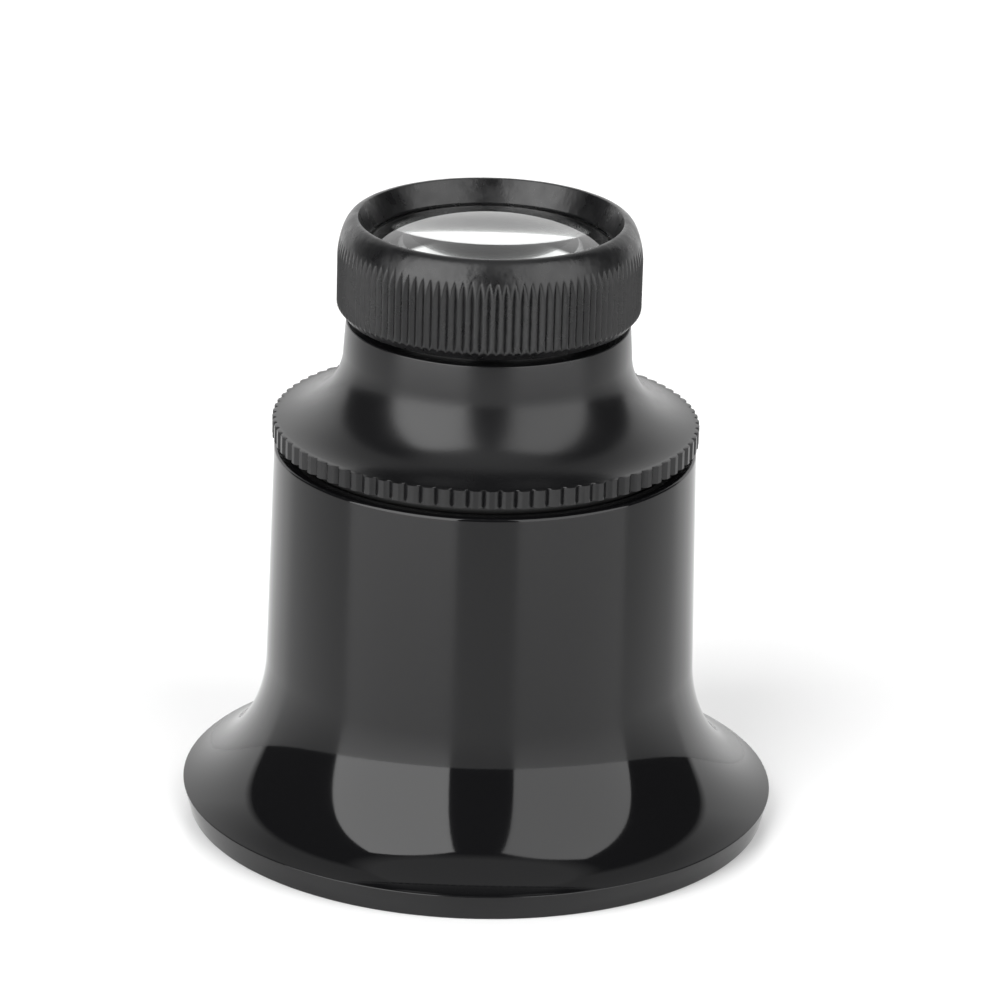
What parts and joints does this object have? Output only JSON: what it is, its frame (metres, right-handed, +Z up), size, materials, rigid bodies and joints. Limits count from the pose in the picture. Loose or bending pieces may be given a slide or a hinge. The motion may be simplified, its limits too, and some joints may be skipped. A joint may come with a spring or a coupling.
{
  "type": "jewelers loupe",
  "caption": "Standing eye loupe: a flared glossy eyecup, a trumpet-shaped lens head that screws into it, and a knurled screw cap holding the upper magnifying lens.",
  "frame": {"origin": "centre of the eyecup's base rim, on the plane it stands on", "axes": "+Z up the optical axis, from the flared eyecup to the upper lens; X and Y across, the threads start near +X"},
  "size_m": [0.043, 0.043, 0.0448],
  "materials": {
    "eyecup_gloss": "glossy moulded black ABS",
    "head_satin": "fine-grained satin black ABS",
    "cap_satin": "semi-gloss black ABS",
    "ring_rubber": "matte black nitrile rubber",
    "lens_glass": "polished clear optical glass",
    "spring_wire": "drawn spring steel wire",
    "retainer_matte": "matte black moulded plastic"
  },
  "bodies": {
    "eyecup": {"eyecup": "eyecup_gloss"},
    "seal": {"head_o_ring": "ring_rubber"},
    "head": {"lens_head": "head_satin", "eye_lens": "lens_glass", "eye_lens_snap_ring": "spring_wire"},
    "loose_lens": {"top_lens": "lens_glass"},
    "cap": {"lens_cap": "cap_satin", "top_lens_retainer": "retainer_matte"}
  },
  "joints": [
    {"name": "head_rise", "type": "slide", "parent": "eyecup", "child": "seal", "axis": [0, 0, 1], "range_m": [0, 0.0034]},
    {"name": "head_turn", "type": "hinge", "parent": "seal", "child": "head", "pos_m": [0, 0, 0.0255], "axis": [0, 0, 1], "range_deg": [0, 1200]},
    {"name": "cap_rise", "type": "slide", "parent": "head", "child": "loose_lens", "axis": [0, 0, 1], "range_m": [0, 0.0021]},
    {"name": "cap_turn", "type": "hinge", "parent": "loose_lens", "child": "cap", "pos_m": [0, 0, 0.039], "axis": [0, 0, 1], "range_deg": [0, 960]}
  ],
  "couplings": [
    {"joint": "head_rise", "follows": "head_turn", "m_per_rad": 0.00015915},
    {"joint": "cap_rise", "follows": "cap_turn", "m_per_rad": 0.00011937}
  ]
}
